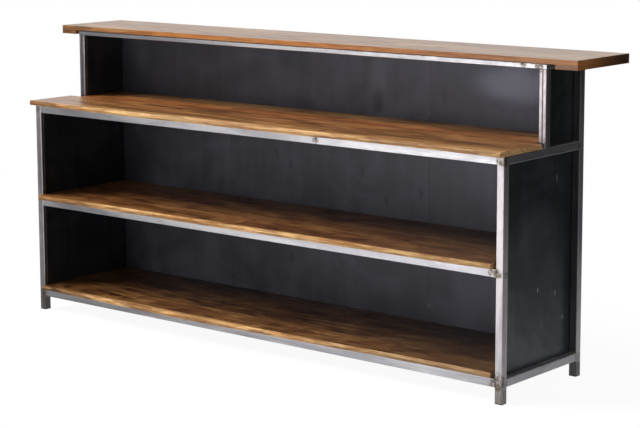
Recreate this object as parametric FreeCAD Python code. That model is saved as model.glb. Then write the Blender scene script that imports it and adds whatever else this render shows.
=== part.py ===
import FreeCAD, Part
import os

from FreeCAD import Rotation, Vector

# Two-level bar counter: a welded steel-tube frame with a bottom shelf, a middle shelf and a working
# counter, open towards the bartender, and a higher bar top set back over the customer's side.
#
# Millimetres. The pieces are built on the bench: x runs right from the left face of the frame,
# y runs from its front face (the bartender's side) to the customer, z runs up from the floor.
# save() then moves the origin to the middle of the footprint.

# ---------------------------------------------------------------- lower frame
FRAME_LENGTH = 2300.0
FRAME_DEPTH = 500.0
BOTTOM_RAIL_TOP = 87.0
MIDDLE_RAIL_TOP = 466.0
COUNTER_RAIL_TOP = 850.0

TUBE = 30.0                 # square tube, outside
TUBE_WALL = 2.0
TUBE_CORNER = 3.0           # rounding of its outside corners

# ---------------------------------------------------------------- upper frame
UPPER_FRAME_SETBACK = 250.0     # front of the upper posts, behind the front of the lower frame
UPPER_FRAME_TOP = 1140.0
TOP_RAIL_HEIGHT = 20.0          # 30 x 20 tube laid flat

# ---------------------------------------------------------------- feet
FOOT_FLANGE = 3.0
FOOT_PLUG = 14.0
FOOT_PLUG_WALL = 2.0
FOOT_FIT = 0.2                  # between the plug and the inside of the leg

# ---------------------------------------------------------------- sheet steel
SHEET = 1.5
SHEET_LAP = 15.0                # onto the 30 mm tubes
TOP_SHEET_LAP = 10.0            # onto the shallower top rails
SHEET_GAP = 0.6                 # weld gap between two sheets
NOTCH_GAP = 1.0                 # round a rail that passes an end panel
MIDDLE_SHEET_WIDTH = 1000.0

# ---------------------------------------------------------------- boards
BOARD = 18.0
BOARD_END_GAP = 0.5             # between a board and the end panels
PLANK_ARRIS = 0.6
MIDDLE_SHELF_SHORT = 11.5       # both shelves are pushed left and stop short on the right
BOTTOM_SHELF_SHORT = 16.5
COUNTER_LEFT_OVERHANG = 25.0
COUNTER_RIGHT_OVERHANG = 4.0
COUNTER_NOTCH_GAP = 30.0        # bare side rail in front of each upper post
PLANKS_PER_SHELF = 4
COUNTER_LONG_PLANKS = 2         # in front of the upper posts
COUNTER_SHORT_PLANKS = 2        # between the upper end panels

# How far the natural front edge stands in front of the frame, at even steps from left to right,
# and how wide its sloping wane is there.
COUNTER_REACH = (10, 20, 29, 27, 25, 29.5, 27, 19.5, 22, 36)
COUNTER_WANE = (4, 5, 9, 16, 22, 20, 13, 7, 6, 9)
MIDDLE_REACH = (28, 29, 27, 28, 31, 27.5, 25, 23, 25, 14)
MIDDLE_WANE = (3, 4, 5, 4, 4, 6, 5, 4, 5, 3)
BOTTOM_REACH = (14, 24, 31, 36, 33, 24, 17.5, 7.5, 0, 3)
BOTTOM_WANE = (3, 4, 5, 5, 4, 4, 3, 3, 3, 3)
NOSE_SAMPLES = 400              # points tried along each natural edge to find its furthest reach
WANE_DROP = 9.0                 # height of the wane on the board's front
EDGE_UNDERCUT = 3.0             # the underside stands this far behind the nose

# ---------------------------------------------------------------- bar top
BAR_LEFT_OVERHANG = 95.0
BAR_RIGHT_OVERHANG = 125.0
BAR_FRONT_OVERHANG = 4.0
BAR_BACK_OVERHANG = 84.0
BAR_PLANKS = 3
BATTEN = 16.0                   # thickness of the end battens
LEFT_BATTEN_WIDTH = 79.0
RIGHT_BATTEN_WIDTH = 89.0

# ---------------------------------------------------------------- cleats, tabs and screws
CLEAT_LEG = 15.0
CLEAT_THICKNESS = 3.0
CLEAT_END_GAP = 1.0
CLEAT_SCREWS = 3
CLEAT_SCREW_INSET = 6.0         # from the cleat's front edge
CLEAT_SCREW_MARGIN = 200.0      # from the cleat's ends
TAB_LENGTH = 40.0
TAB_REACH = 25.0
TAB_THICKNESS = 3.0
TABS_PER_RAIL = 3
TAB_MARGIN = 300.0              # from the frame's ends to the first tab's middle
SCREW_RADIUS = 2.5
SCREW_HEAD_CORNER = 4.6         # middle of the hexagon head to its corners
SCREW_HEAD_HEIGHT = 3.5
SCREW_GRIP = 12.0               # into the wood
SCREW_FIT = 0.1                 # round the shank

# ---------------------------------------------------------------- places worked out from the sizes
HALF_TUBE = TUBE / 2
RIGHT = FRAME_LENGTH
BACK = FRAME_DEPTH
INNER_RIGHT = FRAME_LENGTH - TUBE
INNER_BACK = FRAME_DEPTH - TUBE
TOP_RAIL_UNDERSIDE = UPPER_FRAME_TOP - TOP_RAIL_HEIGHT
UPPER_POST_BACK = UPPER_FRAME_SETBACK + TUBE
SHEET_FACE = INNER_BACK - SHEET             # the side of the back sheets that the bays show
BAY_LEFT = TUBE + SHEET
BAY_RIGHT = INNER_RIGHT - SHEET
SHEET_JOINT = COUNTER_RAIL_TOP - SHEET_LAP  # level where the upper sheets start
SEAMS = ((FRAME_LENGTH - MIDDLE_SHEET_WIDTH) / 2, (FRAME_LENGTH + MIDDLE_SHEET_WIDTH) / 2)
BOARD_LEFT = BAY_LEFT + BOARD_END_GAP
BOARD_RIGHT = BAY_RIGHT - BOARD_END_GAP
COUNTER_NOTCH = UPPER_FRAME_SETBACK - COUNTER_NOTCH_GAP
BAR_LEFT = -BAR_LEFT_OVERHANG
BAR_RIGHT = FRAME_LENGTH + BAR_RIGHT_OVERHANG
BAR_FRONT = UPPER_FRAME_SETBACK - BAR_FRONT_OVERHANG
BAR_BACK = FRAME_DEPTH + BAR_BACK_OVERHANG
BATTEN_UNDERSIDE = UPPER_FRAME_TOP - BATTEN
CLEAT_SCREW_Y = SHEET_FACE - CLEAT_LEG + CLEAT_SCREW_INSET
UP = Vector(0, 0, 1)

os.makedirs("parts", exist_ok=True)


# ---------------------------------------------------------------- helpers
def block(x0, x1, y0, y1, z0, z1):
    """Square-edged block between two corners."""
    return Part.makeBox(x1 - x0, y1 - y0, z1 - z0, Vector(x0, y0, z0))


def upright_bar(across_x, across_y, length):
    """Square-edged bar that stands on the XY plane round the Z axis."""
    return block(-across_x / 2, across_x / 2, -across_y / 2, across_y / 2, 0, length)


def rounded_bar(across_x, across_y, length):
    """The same with its long corners rounded as a tube's are."""
    bar = upright_bar(across_x, across_y, length)
    long_edges = [edge for edge in bar.Edges if abs(edge.tangentAt(edge.FirstParameter).z) > 0.5]
    return bar.makeFillet(TUBE_CORNER, long_edges)


def tube_between(start, end, height=TUBE):
    """Hollow tube whose centre line runs from start to end. It is TUBE wide, and height high."""
    start, end = sorted((start, end), key=lambda point: (point.x, point.y, point.z))
    run = end - start
    if run.x:
        across, turn = (height, TUBE), Rotation(Vector(0, 1, 0), 90)
    elif run.y:
        across, turn = (TUBE, height), Rotation(Vector(1, 0, 0), -90)
    else:
        across, turn = (TUBE, TUBE), Rotation()
    inside = [side - 2 * TUBE_WALL for side in across]
    tube = rounded_bar(*across, run.Length).cut(upright_bar(*inside, run.Length))
    tube.Placement = FreeCAD.Placement(start, turn)
    return tube


def evenly(count, first, last):
    """Positions of count things spread from first to last."""
    step = (last - first) / (count - 1)
    return [first + i * step for i in range(count)]


def joints(count, first, last):
    """The count + 1 lines that divide first to last into count equal planks."""
    return evenly(count + 1, first, last)


def plank(x0, x1, y0, y1, z0):
    """Straight plank with the arrises of its top long edges taken off."""
    board = block(x0, x1, y0, y1, z0, z0 + BOARD)
    boxes = [(edge, edge.BoundBox) for edge in board.Edges]
    top_edges = [edge for edge, box in boxes if box.ZMin > z0 + BOARD / 2 and box.XLength > box.YLength]
    return board.makeChamfer(PLANK_ARRIS, top_edges)


def edge_line(x0, x1, reaches, z):
    """Smooth line of a natural edge, through points at even steps from x0 to x1."""
    places = evenly(len(reaches), x0, x1)
    curve = Part.BSplineCurve()
    curve.interpolate([Vector(x, -reach, z) for x, reach in zip(places, reaches)])
    return curve.toShape()


def natural_plank(x0, x1, y1, z0, reaches, wanes):
    """Front plank: straight back at y1, natural front with a wane above its nose."""
    top_z, nose_z = z0 + BOARD, z0 + BOARD - WANE_DROP
    top = edge_line(x0, x1, [reach - wane for reach, wane in zip(reaches, wanes)], top_z)
    nose = edge_line(x0, x1, reaches, nose_z)
    foot = edge_line(x0, x1, [reach - EDGE_UNDERCUT for reach in reaches], z0)
    faces = [Part.makeRuledSurface(top, nose), Part.makeRuledSurface(nose, foot)]
    for line, z in ((top, top_z), (foot, z0)):
        left, right = line.Vertexes[0].Point, line.Vertexes[-1].Point
        corners = [right, Vector(x1, y1, z), Vector(x0, y1, z), left]
        faces.append(Part.Face(Part.Wire([line] + Part.makePolygon(corners).Edges)))
    for x, end in ((x0, 0), (x1, -1)):
        front = [line.Vertexes[end].Point for line in (foot, nose, top)]
        outline = [Vector(x, y1, z0), *front, Vector(x, y1, top_z), Vector(x, y1, z0)]
        faces.append(Part.Face(Part.makePolygon(outline)))
    back = [Vector(x0, y1, z0), Vector(x1, y1, z0), Vector(x1, y1, top_z), Vector(x0, y1, top_z)]
    faces.append(Part.Face(Part.makePolygon(back + back[:1])))
    shell = Part.makeShell(faces)
    shell.sewShape()
    solid = Part.makeSolid(shell)
    if solid.Volume < 0:
        solid.reverse()
    return solid


def hexagon_screw(tip_depth):
    """Screw that points up from z = 0, with its hexagon head below."""
    corner = Vector(SCREW_HEAD_CORNER, 0, -SCREW_HEAD_HEIGHT)
    corners = [Rotation(UP, 60 * i).multVec(corner) for i in range(7)]
    head = Part.Face(Part.makePolygon(corners)).extrude(UP * SCREW_HEAD_HEIGHT)
    return head.fuse(Part.makeCylinder(SCREW_RADIUS, tip_depth))


def pilot_hole(place, depth):
    """Cutter for a screw that enters at place and reaches depth above it."""
    return Part.makeCylinder(SCREW_RADIUS + SCREW_FIT, depth + SCREW_FIT, place, UP)


def placed(shape, place):
    """A copy of the shape, moved by place."""
    copy = shape.copy()
    copy.translate(place)
    return copy


# ---------------------------------------------------------------- frame tubes
def legs_and_posts():
    """Front posts carry the counter; back posts run on up to the top frame."""
    tubes = {}
    for side, x in (("left", HALF_TUBE), ("right", RIGHT - HALF_TUBE)):
        stands = {
            "front_post": (HALF_TUBE, FOOT_FLANGE, COUNTER_RAIL_TOP),
            "back_post": (BACK - HALF_TUBE, FOOT_FLANGE, TOP_RAIL_UNDERSIDE),
            "upper_post": (UPPER_FRAME_SETBACK + HALF_TUBE, COUNTER_RAIL_TOP, TOP_RAIL_UNDERSIDE),
        }
        for name, (y, low, high) in stands.items():
            tubes[f"{name}_{side}"] = tube_between(Vector(x, y, low), Vector(x, y, high))
    return tubes


def level_rails():
    """Rails of the lower frame, each between the two posts that it ties."""
    tubes = {}
    levels = {"bottom": BOTTOM_RAIL_TOP, "middle": MIDDLE_RAIL_TOP, "counter": COUNTER_RAIL_TOP}
    for level, top in levels.items():
        z = top - HALF_TUBE
        rows = {"front": HALF_TUBE, "back": BACK - HALF_TUBE}
        if level == "middle":
            del rows["back"]
        for row, y in rows.items():
            tubes[f"{row}_{level}_rail"] = tube_between(Vector(TUBE, y, z), Vector(INNER_RIGHT, y, z))
    for level in ("bottom", "counter"):
        z = levels[level] - HALF_TUBE
        for side, x in (("left", HALF_TUBE), ("right", RIGHT - HALF_TUBE)):
            name = f"{side}_{level}_rail"
            tubes[name] = tube_between(Vector(x, TUBE, z), Vector(x, INNER_BACK, z))
    return tubes


def back_stiles():
    """Uprights behind the sheet seams, between the back rails."""
    tubes = {}
    spans = {"lower": (BOTTOM_RAIL_TOP, COUNTER_RAIL_TOP - TUBE),
             "upper": (COUNTER_RAIL_TOP, TOP_RAIL_UNDERSIDE)}
    for level, (low, high) in spans.items():
        for side, x in zip(("left", "right"), SEAMS):
            y = BACK - HALF_TUBE
            tubes[f"{level}_back_stile_{side}"] = tube_between(Vector(x, y, low), Vector(x, y, high))
    return tubes


def top_frame():
    """Four flat tubes under the bar top, mitred where they meet."""
    z = UPPER_FRAME_TOP - TOP_RAIL_HEIGHT / 2
    front, back = UPPER_FRAME_SETBACK, BACK
    outer = [Vector(0, front, 0), Vector(RIGHT, front, 0), Vector(RIGHT, back, 0), Vector(0, back, 0)]
    inner = [Vector(TUBE, UPPER_POST_BACK, 0), Vector(INNER_RIGHT, UPPER_POST_BACK, 0),
             Vector(INNER_RIGHT, INNER_BACK, 0), Vector(TUBE, INNER_BACK, 0)]
    middles = [(a + b) / 2 for a, b in zip(outer, inner)]
    tubes = {}
    for i, name in enumerate(("front_top_rail", "right_top_rail", "back_top_rail", "left_top_rail")):
        j = (i + 1) % 4
        along = (outer[j] - outer[i]).normalize()
        start = middles[i] - along * HALF_TUBE + UP * z
        end = middles[j] + along * HALF_TUBE + UP * z
        outline = Part.makePolygon([outer[i], outer[j], inner[j], inner[i], outer[i]])
        mitre = Part.Face(outline).extrude(UP * (UPPER_FRAME_TOP + TUBE))
        tubes[name] = tube_between(start, end, TOP_RAIL_HEIGHT).common(mitre)
    return tubes


def foot_caps():
    """Plastic inserts: a flange under the leg and a hollow plug inside it."""
    side = TUBE - 2 * TUBE_WALL - 2 * FOOT_FIT
    inside = side - 2 * FOOT_PLUG_WALL
    plug = upright_bar(side, side, FOOT_PLUG).cut(upright_bar(inside, inside, FOOT_PLUG))
    cap = rounded_bar(TUBE, TUBE, FOOT_FLANGE).fuse(placed(plug, UP * FOOT_FLANGE)).removeSplitter()
    caps = {}
    for side, x in (("left", HALF_TUBE), ("right", RIGHT - HALF_TUBE)):
        for row, y in (("front", HALF_TUBE), ("back", BACK - HALF_TUBE)):
            caps[f"foot_cap_{row}_{side}"] = placed(cap, Vector(x, y, 0))
    return caps


# ---------------------------------------------------------------- sheet steel
def end_panels():
    """Sheets on the inner faces of the end tubes, notched round the rails that pass them."""
    lapped_back = INNER_BACK + SHEET_LAP
    lower = block(0, SHEET, SHEET_LAP, lapped_back, BOTTOM_RAIL_TOP - SHEET_LAP, SHEET_JOINT)
    upper = block(0, SHEET, UPPER_FRAME_SETBACK + SHEET_LAP, lapped_back,
                  SHEET_JOINT + SHEET_GAP, TOP_RAIL_UNDERSIDE + TOP_SHEET_LAP)
    for top in (BOTTOM_RAIL_TOP, MIDDLE_RAIL_TOP, COUNTER_RAIL_TOP):
        lower = lower.cut(block(0, SHEET, 0, TUBE + NOTCH_GAP, top - TUBE - NOTCH_GAP, top + NOTCH_GAP))
    for top in (BOTTOM_RAIL_TOP, COUNTER_RAIL_TOP):
        back_notch = block(0, SHEET, INNER_BACK, BACK, top - TUBE - NOTCH_GAP, top + NOTCH_GAP)
        lower, upper = lower.cut(back_notch), upper.cut(back_notch)
    for front, back in ((UPPER_FRAME_SETBACK, UPPER_POST_BACK + NOTCH_GAP), (INNER_BACK, BACK)):
        upper = upper.cut(block(0, SHEET, front, back, TOP_RAIL_UNDERSIDE - NOTCH_GAP, UPPER_FRAME_TOP))
    panels = {}
    for side, x in (("left", TUBE), ("right", BAY_RIGHT)):
        panels[f"lower_end_panel_{side}"] = placed(lower, Vector(x, 0, 0))
        panels[f"upper_end_panel_{side}"] = placed(upper, Vector(x, 0, 0))
    return panels


def back_sheets():
    """Three sheets on each level, tacked to the stiles where they meet."""
    spans = {"lower": (BOTTOM_RAIL_TOP - SHEET_LAP, SHEET_JOINT),
             "upper": (SHEET_JOINT + SHEET_GAP, TOP_RAIL_UNDERSIDE + TOP_SHEET_LAP)}
    columns = {"left": (BAY_LEFT, SEAMS[0] - SHEET_GAP / 2),
               "middle": (SEAMS[0] + SHEET_GAP / 2, SEAMS[1] - SHEET_GAP / 2),
               "right": (SEAMS[1] + SHEET_GAP / 2, BAY_RIGHT)}
    return {f"{level}_back_sheet_{column}": block(*columns[column], SHEET_FACE, INNER_BACK, *spans[level])
            for level in spans for column in columns}


# ---------------------------------------------------------------- boards
def shelf(name, top_of_rail, right, reaches, wanes):
    """Shelf glued up from a natural-edge plank and straight ones behind it."""
    lines = joints(PLANKS_PER_SHELF, 0, SHEET_FACE)
    edge_plank = natural_plank(BOARD_LEFT, right, lines[1], top_of_rail, reaches, wanes)
    planks = {f"{name}_edge_plank": edge_plank}
    for i in range(1, PLANKS_PER_SHELF):
        planks[f"{name}_plank_{i + 1}"] = plank(BOARD_LEFT, right, lines[i], lines[i + 1], top_of_rail)
    return planks


def counter():
    """Working counter: long planks over the side rails, then short ones between the end panels."""
    left, right, z = -COUNTER_LEFT_OVERHANG, RIGHT + COUNTER_RIGHT_OVERHANG, COUNTER_RAIL_TOP
    long_lines = joints(COUNTER_LONG_PLANKS, 0, COUNTER_NOTCH)
    short_lines = joints(COUNTER_SHORT_PLANKS, COUNTER_NOTCH, SHEET_FACE)
    edge_plank = natural_plank(left, right, long_lines[1], z, COUNTER_REACH, COUNTER_WANE)
    planks = {"counter_edge_plank": edge_plank}
    spans = [(left, right, *long_lines[i:i + 2]) for i in range(1, COUNTER_LONG_PLANKS)]
    spans += [(BOARD_LEFT, BOARD_RIGHT, *short_lines[i:i + 2]) for i in range(COUNTER_SHORT_PLANKS)]
    for number, span in enumerate(spans, start=2):
        planks[f"counter_plank_{number}"] = plank(*span, z)
    return planks


def bar_top():
    """Bar top: long straight planks, with a batten under each overhanging end."""
    lines = joints(BAR_PLANKS, BAR_FRONT, BAR_BACK)
    pieces = {f"bar_top_plank_{i + 1}": plank(BAR_LEFT, BAR_RIGHT, lines[i], lines[i + 1], UPPER_FRAME_TOP)
              for i in range(BAR_PLANKS)}
    ends = {"left": (BAR_LEFT, BAR_LEFT + LEFT_BATTEN_WIDTH),
            "right": (BAR_RIGHT - RIGHT_BATTEN_WIDTH, BAR_RIGHT)}
    for side, (x0, x1) in ends.items():
        batten = block(x0, x1, BAR_FRONT, BAR_BACK, BATTEN_UNDERSIDE, UPPER_FRAME_TOP)
        pieces[f"bar_top_batten_{side}"] = batten
    return pieces


# ---------------------------------------------------------------- what holds the boards
def cleat(top):
    """Steel angle on the back sheets: one leg down the sheet, one under the board."""
    left, right = BAY_LEFT + CLEAT_END_GAP, BAY_RIGHT - CLEAT_END_GAP
    upright = block(left, right, SHEET_FACE - CLEAT_THICKNESS, SHEET_FACE, top - CLEAT_LEG, top)
    seat = block(left, right, SHEET_FACE - CLEAT_LEG, SHEET_FACE, top - CLEAT_THICKNESS, top)
    return upright.fuse(seat).removeSplitter()


def cleat_screw_places(top):
    """Where the screws of one cleat enter it from below."""
    xs = evenly(CLEAT_SCREWS, BAY_LEFT + CLEAT_SCREW_MARGIN, BAY_RIGHT - CLEAT_SCREW_MARGIN)
    return [Vector(x, CLEAT_SCREW_Y, top - CLEAT_THICKNESS) for x in xs]


def tabs():
    """Plates welded inside the front and back top rails, each with the place of its screw."""
    z = UPPER_FRAME_TOP - TAB_THICKNESS
    plates, places = [], []
    for rail_face, into in ((UPPER_POST_BACK, 1), (INNER_BACK, -1)):
        y0, y1 = sorted((rail_face, rail_face + into * TAB_REACH))
        for x in evenly(TABS_PER_RAIL, TAB_MARGIN, RIGHT - TAB_MARGIN):
            place = Vector(x, (y0 + y1) / 2, z)
            plate = block(x - TAB_LENGTH / 2, x + TAB_LENGTH / 2, y0, y1, z, UPPER_FRAME_TOP)
            plates.append(plate.cut(pilot_hole(place, TAB_THICKNESS)))
            places.append(place)
    return plates, places


# ---------------------------------------------------------------- put the counter together
pieces = {}
pieces.update(legs_and_posts())
pieces.update(level_rails())
pieces.update(back_stiles())
pieces.update(top_frame())
pieces.update(foot_caps())
pieces.update(end_panels())
pieces.update(back_sheets())
pieces.update(shelf("bottom_shelf", BOTTOM_RAIL_TOP, BAY_RIGHT - BOTTOM_SHELF_SHORT,
                    BOTTOM_REACH, BOTTOM_WANE))
pieces.update(shelf("middle_shelf", MIDDLE_RAIL_TOP, BAY_RIGHT - MIDDLE_SHELF_SHORT,
                    MIDDLE_REACH, MIDDLE_WANE))
pieces.update(counter())
pieces.update(bar_top())

# Cleats and their screws: each screw passes its cleat and ends inside the board's last plank.
screw_length = CLEAT_THICKNESS + SCREW_GRIP
cleat_screws = []
back_planks = {"bottom_shelf": (BOTTOM_RAIL_TOP, PLANKS_PER_SHELF),
               "middle_shelf": (MIDDLE_RAIL_TOP, PLANKS_PER_SHELF),
               "counter": (COUNTER_RAIL_TOP, COUNTER_LONG_PLANKS + COUNTER_SHORT_PLANKS)}
for board, (top, number) in back_planks.items():
    places = cleat_screw_places(top)
    holes = Part.makeCompound([pilot_hole(place, screw_length) for place in places])
    pieces[f"{board}_cleat"] = cleat(top).cut(holes)
    pieces[f"{board}_plank_{number}"] = pieces[f"{board}_plank_{number}"].cut(holes)
    cleat_screws += [placed(hexagon_screw(screw_length), place) for place in places]
pieces["cleat_screws"] = Part.makeCompound(cleat_screws)

# Tabs and their screws, which end inside the bar top. The battens are glued to it.
plates, places = tabs()
screw_length = TAB_THICKNESS + SCREW_GRIP
holes = Part.makeCompound([pilot_hole(place, screw_length) for place in places])
for i in range(BAR_PLANKS):
    pieces[f"bar_top_plank_{i + 1}"] = pieces[f"bar_top_plank_{i + 1}"].cut(holes)
pieces["bar_top_tabs"] = Part.makeCompound(plates)
screws = [placed(hexagon_screw(screw_length), place) for place in places]
pieces["bar_top_screws"] = Part.makeCompound(screws)

# ---------------------------------------------------------------- origin and files
reach_lists = (COUNTER_REACH, MIDDLE_REACH, BOTTOM_REACH)
nose_lines = [edge_line(0, FRAME_LENGTH, reaches, 0) for reaches in reach_lists]
furthest_reach = max(-point.y for line in nose_lines for point in line.discretize(NOSE_SAMPLES))
footprint_middle = Vector((BAR_LEFT + BAR_RIGHT) / 2, (BAR_BACK - furthest_reach) / 2, 0)


def save(node, shape):
    """Write one sub-part, with the origin at the middle of the footprint."""
    placed(shape, -footprint_middle).exportStep(f"parts/{node}.step")


for node, shape in pieces.items():
    save(node, shape)
print(len(pieces), "sub-parts, furthest reach", round(furthest_reach, 3), "middle", footprint_middle)
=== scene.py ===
# %% [markdown]
# # A bar counter in welded tube, blackened sheet and natural-edge boards
#
# The real counter is a frame of raw square steel tube, closed behind and at the ends with
# blackened sheet, with oiled hardwood boards laid on it. The frame that is loaded here already has
# every tube, sheet and plank as a solid of its own. This lesson dresses them: first the camera and
# a way to write shader maths, then the finishes of steel, sheet and wood, then the welds, which
# repeat and so come from Geometry Nodes, and last the studio.

import math

import bpy
from mathutils import Matrix, Vector


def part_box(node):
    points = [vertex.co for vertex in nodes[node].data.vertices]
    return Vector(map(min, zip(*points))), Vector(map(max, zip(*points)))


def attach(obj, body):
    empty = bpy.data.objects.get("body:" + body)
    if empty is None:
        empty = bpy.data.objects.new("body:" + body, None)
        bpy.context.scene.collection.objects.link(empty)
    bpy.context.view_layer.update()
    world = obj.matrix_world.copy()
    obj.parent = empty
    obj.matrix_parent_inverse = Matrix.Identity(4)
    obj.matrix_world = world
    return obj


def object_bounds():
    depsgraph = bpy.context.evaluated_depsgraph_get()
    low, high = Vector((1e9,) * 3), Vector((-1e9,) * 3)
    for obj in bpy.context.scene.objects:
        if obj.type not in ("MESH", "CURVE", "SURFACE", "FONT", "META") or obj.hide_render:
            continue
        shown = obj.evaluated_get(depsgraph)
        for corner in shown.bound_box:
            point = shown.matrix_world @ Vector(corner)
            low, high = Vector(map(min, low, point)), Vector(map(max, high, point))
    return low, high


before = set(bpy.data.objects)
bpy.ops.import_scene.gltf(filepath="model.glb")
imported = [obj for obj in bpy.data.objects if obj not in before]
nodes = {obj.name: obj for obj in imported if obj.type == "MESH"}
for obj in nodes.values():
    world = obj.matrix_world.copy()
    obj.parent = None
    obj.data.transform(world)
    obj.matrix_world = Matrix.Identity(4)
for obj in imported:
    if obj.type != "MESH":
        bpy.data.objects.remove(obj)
cad_box = [list(corner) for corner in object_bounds()]
print("nodes in the frame:", len(nodes), "box:", cad_box)

# %% [markdown]
# ## The camera
#
# A long lens from a few metres away keeps the tubes nearly parallel, as in a catalogue picture. The
# camera stands to the right of the open side and looks a little down, so the counter, the shelves
# and the right end all show. Its turn is written out as three directions, right, up and back,
# because three angles in a row are hard to read.

# %% Camera
CAMERA_PLACE = Vector((4.5832, -5.4098, 1.7751))
TURN_LEFT, LOOK_DOWN, LEAN = 0.6903, 0.1452, -0.0032       # radians
SENSOR, LENS = 36, 105.6                                   # millimetres
SHIFT_UP = -0.10                                           # a share of the picture's width
FAR_CLIP = 100                                             # metres

look = Vector((-math.sin(TURN_LEFT) * math.cos(LOOK_DOWN),
               math.cos(TURN_LEFT) * math.cos(LOOK_DOWN), -math.sin(LOOK_DOWN)))
level = Vector((math.cos(TURN_LEFT), math.sin(TURN_LEFT), 0))
upward = level.cross(look)
right = math.cos(LEAN) * level + math.sin(LEAN) * upward
up = math.cos(LEAN) * upward - math.sin(LEAN) * level
turn = Matrix((right, up, -look)).transposed().to_4x4()

camera = bpy.data.objects.new("camera", bpy.data.cameras.new("camera"))
bpy.context.scene.collection.objects.link(camera)
camera.matrix_world = Matrix.Translation(CAMERA_PLACE) @ turn
camera.data.sensor_width = SENSOR
camera.data.lens = LENS
camera.data.shift_y = SHIFT_UP
camera.data.clip_end = FAR_CLIP
bpy.context.scene.camera = camera
counter_middle = (Vector(cad_box[0]) + Vector(cad_box[1])) / 2
print("camera", round((CAMERA_PLACE - counter_middle).length, 2), "m from the counter")

# %% [markdown]
# ## Writing shader maths as sums
#
# A finish is mostly arithmetic on where a point is: how far from a weld, which plank, how far along
# the grain. `Wire` wraps the output of a node, so that `1 - mask` adds the Math node by itself.
# Every node of any other type comes from `Nodes.add`: its settings first, then its sockets.
# `Shader` adds the few nodes that every finish needs, under short names.

# %% A socket that can stand in a sum
class Wire:
    """The output of a node."""

    def __init__(self, writer, socket):
        self.writer, self.socket = writer, socket

    def other(self, name):
        """Another output of the same node."""
        return Wire(self.writer, self.socket.node.outputs[name])

    def maths(self, operation, *values):
        return self.writer.add("ShaderNodeMath", {"operation": operation}, dict(enumerate(values)))

    def __add__(self, value):
        return self.maths("ADD", self, value)

    def __sub__(self, value):
        return self.maths("SUBTRACT", self, value)

    def __rsub__(self, value):
        return self.maths("SUBTRACT", value, self)

    def __mul__(self, value):
        return self.maths("MULTIPLY", self, value)

    def __truediv__(self, value):
        return self.maths("DIVIDE", self, value)

    def __pow__(self, value):
        return self.maths("POWER", self, value)

    def __gt__(self, value):
        return self.maths("GREATER_THAN", self, value)

    def __abs__(self):
        return self.maths("ABSOLUTE", self)

    def smaller(self, value):
        return self.maths("MINIMUM", self, value)

    def larger(self, value):
        return self.maths("MAXIMUM", self, value)

    __radd__ = __add__
    __rmul__ = __mul__


# %% One way to add any node
class Nodes:
    """A node tree being written."""

    def __init__(self, tree):
        self.tree = tree
        tree.nodes.clear()

    def add(self, kind, settings=None, sockets=None, out=0):
        """Adds a node and returns one of its outputs; a ramp's stops are among its settings."""
        node = self.tree.nodes.new(kind)
        for name, value in (settings or {}).items():
            if name == "stops":
                for _ in value[2:]:
                    node.color_ramp.elements.new(1)
                for element, (place, colour) in zip(node.color_ramp.elements, value):
                    element.position, element.color = place, (*colour, 1)
            else:
                setattr(node, name, value)
        for name, value in (sockets or {}).items():
            if isinstance(value, Wire):
                self.tree.links.new(value.socket, node.inputs[name])
            else:
                node.inputs[name].default_value = value
        return Wire(self, node.outputs[out]) if len(node.outputs) else node


# %% Short names for the nodes of a finish
class Shader(Nodes):
    """A material's or the world's tree."""

    def place(self):
        """Where the point is, in metres: every finished piece sits at the origin, unturned."""
        return self.add("ShaderNodeTexCoord", out="Object")

    def parts(self, vector):
        """The x, y and z of a vector."""
        x = self.add("ShaderNodeSeparateXYZ", {}, {0: vector})
        return x, x.other("Y"), x.other("Z")

    def facing(self):
        """The x, y and z of the way that the surface looks."""
        return self.parts(self.add("ShaderNodeNewGeometry", out="Normal"))

    def distance(self, place, point):
        return self.add("ShaderNodeVectorMath", {"operation": "DISTANCE"}, {0: place, 1: point},
                        out="Value")

    def stretched(self, place, scale, shift=(0, 0, 0)):
        return self.add("ShaderNodeMapping", {}, {
            "Vector": place, "Scale": scale, "Location": shift})

    def noise(self, place, scale, detail=3.0, rough=0.55, shift=(0, 0, 0), warp=0.0):
        """Clouds from 0 to 1; scale says how many there are to the metre along x, y and z."""
        return self.add("ShaderNodeTexNoise", {}, {
            "Vector": self.stretched(place, scale, shift), "Scale": 1.0, "Detail": detail,
            "Roughness": rough, "Distortion": warp})

    def remap(self, value, low, high, to_low=0.0, to_high=1.0):
        """A soft step from to_low to to_high while value goes from low to high."""
        return self.add("ShaderNodeMapRange", {"interpolation_type": "SMOOTHSTEP"}, {
            "Value": value, "From Min": low, "From Max": high,
            "To Min": to_low, "To Max": to_high})

    def ramp(self, value, stops):
        return self.add("ShaderNodeValToRGB", {"stops": stops}, {0: value})

    def mix(self, factor, a, b, blend="MIX"):
        """Colour a, and as much of colour b over it as factor says."""
        a, b = [colour if isinstance(colour, Wire) else (*colour, 1) for colour in (a, b)]
        return self.add("ShaderNodeMix", {"data_type": "RGBA", "blend_type": blend}, {
            0: factor, 6: a, 7: b}, out=2)

    def bump(self, height, depth):
        """height from 0 to 1 stands for depth in metres."""
        return self.add("ShaderNodeBump", {}, {
            "Height": height, "Distance": depth, "Strength": 1.0})


# %% Start and end of a finish
def tone(hexes):
    """A colour written as RRGGBB, as the shader wants it."""
    def linear(value):
        return value / 12.92 if value <= 0.04045 else ((value + 0.055) / 1.055) ** 2.4
    return tuple(linear(int(hexes[i:i + 2], 16) / 255) for i in (0, 2, 4))


def new_finish(name):
    material = bpy.data.materials.new(name)
    material.use_nodes = True
    return material, Shader(material.node_tree)


def close_finish(n, **sockets):
    """Ends the tree with a surface; the underscores in the sockets' names stand for spaces."""
    surface = n.add("ShaderNodeBsdfPrincipled", {}, {
        name.replace("_", " "): value for name, value in sockets.items()})
    n.add("ShaderNodeOutputMaterial", {}, {"Surface": surface})


print("a middle grey, 808080, is", [round(part, 3) for part in tone("808080")], "to the shader")

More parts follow.
